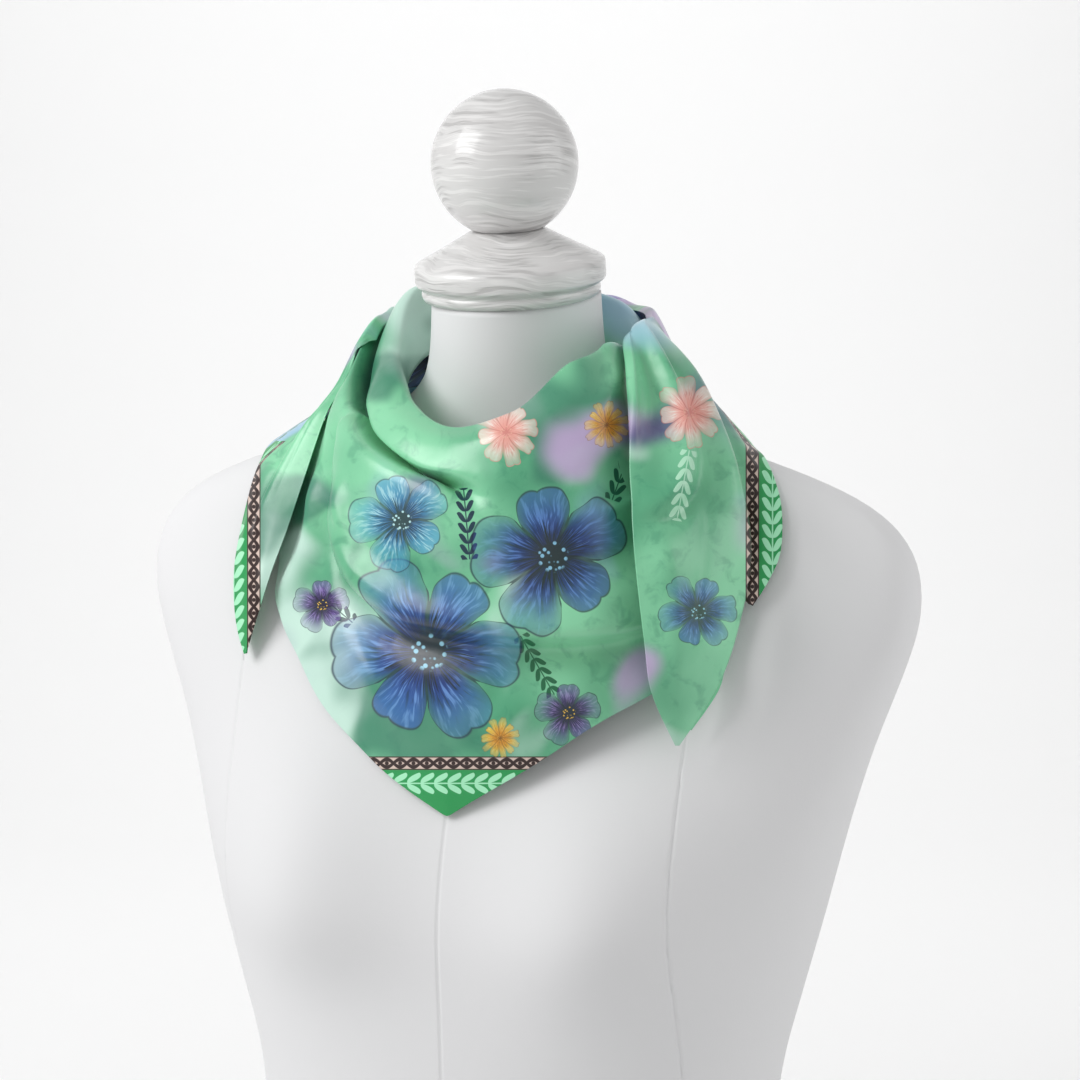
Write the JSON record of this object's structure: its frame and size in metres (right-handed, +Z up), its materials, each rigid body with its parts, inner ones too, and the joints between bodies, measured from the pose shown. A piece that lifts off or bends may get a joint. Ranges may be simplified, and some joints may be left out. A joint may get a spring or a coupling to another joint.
{
  "type": "silk square scarf on a dress form",
  "caption": "Silk square scarf folded to a triangle and worn point-forward with its ends hanging at the neck, on a limbless dress form with a turned wooden neck cap and ball finial.",
  "frame": {"origin": "centre of the form's flat base, on the surface it stands on", "axes": "+Z up, the form faces -Y, +X is the wearer's left"},
  "size_m": [0.448, 0.2534, 0.8255],
  "materials": {
    "form_white": "matte white",
    "washed_wood": "white-washed grain under a clear gloss",
    "printed_silk": "printed silk satin"
  },
  "bodies": {
    "root": {"form_torso": "form_white", "form_neck_cap": "washed_wood", "form_ball_finial": "washed_wood", "scarf_cowl": "printed_silk", "scarf_front": "printed_silk", "scarf_nape_wrap": "printed_silk", "scarf_right_wing": "printed_silk", "scarf_left_rear_wing": "printed_silk", "scarf_left_under_tail": "printed_silk", "scarf_left_tail": "printed_silk"}
  },
  "joints": []
}
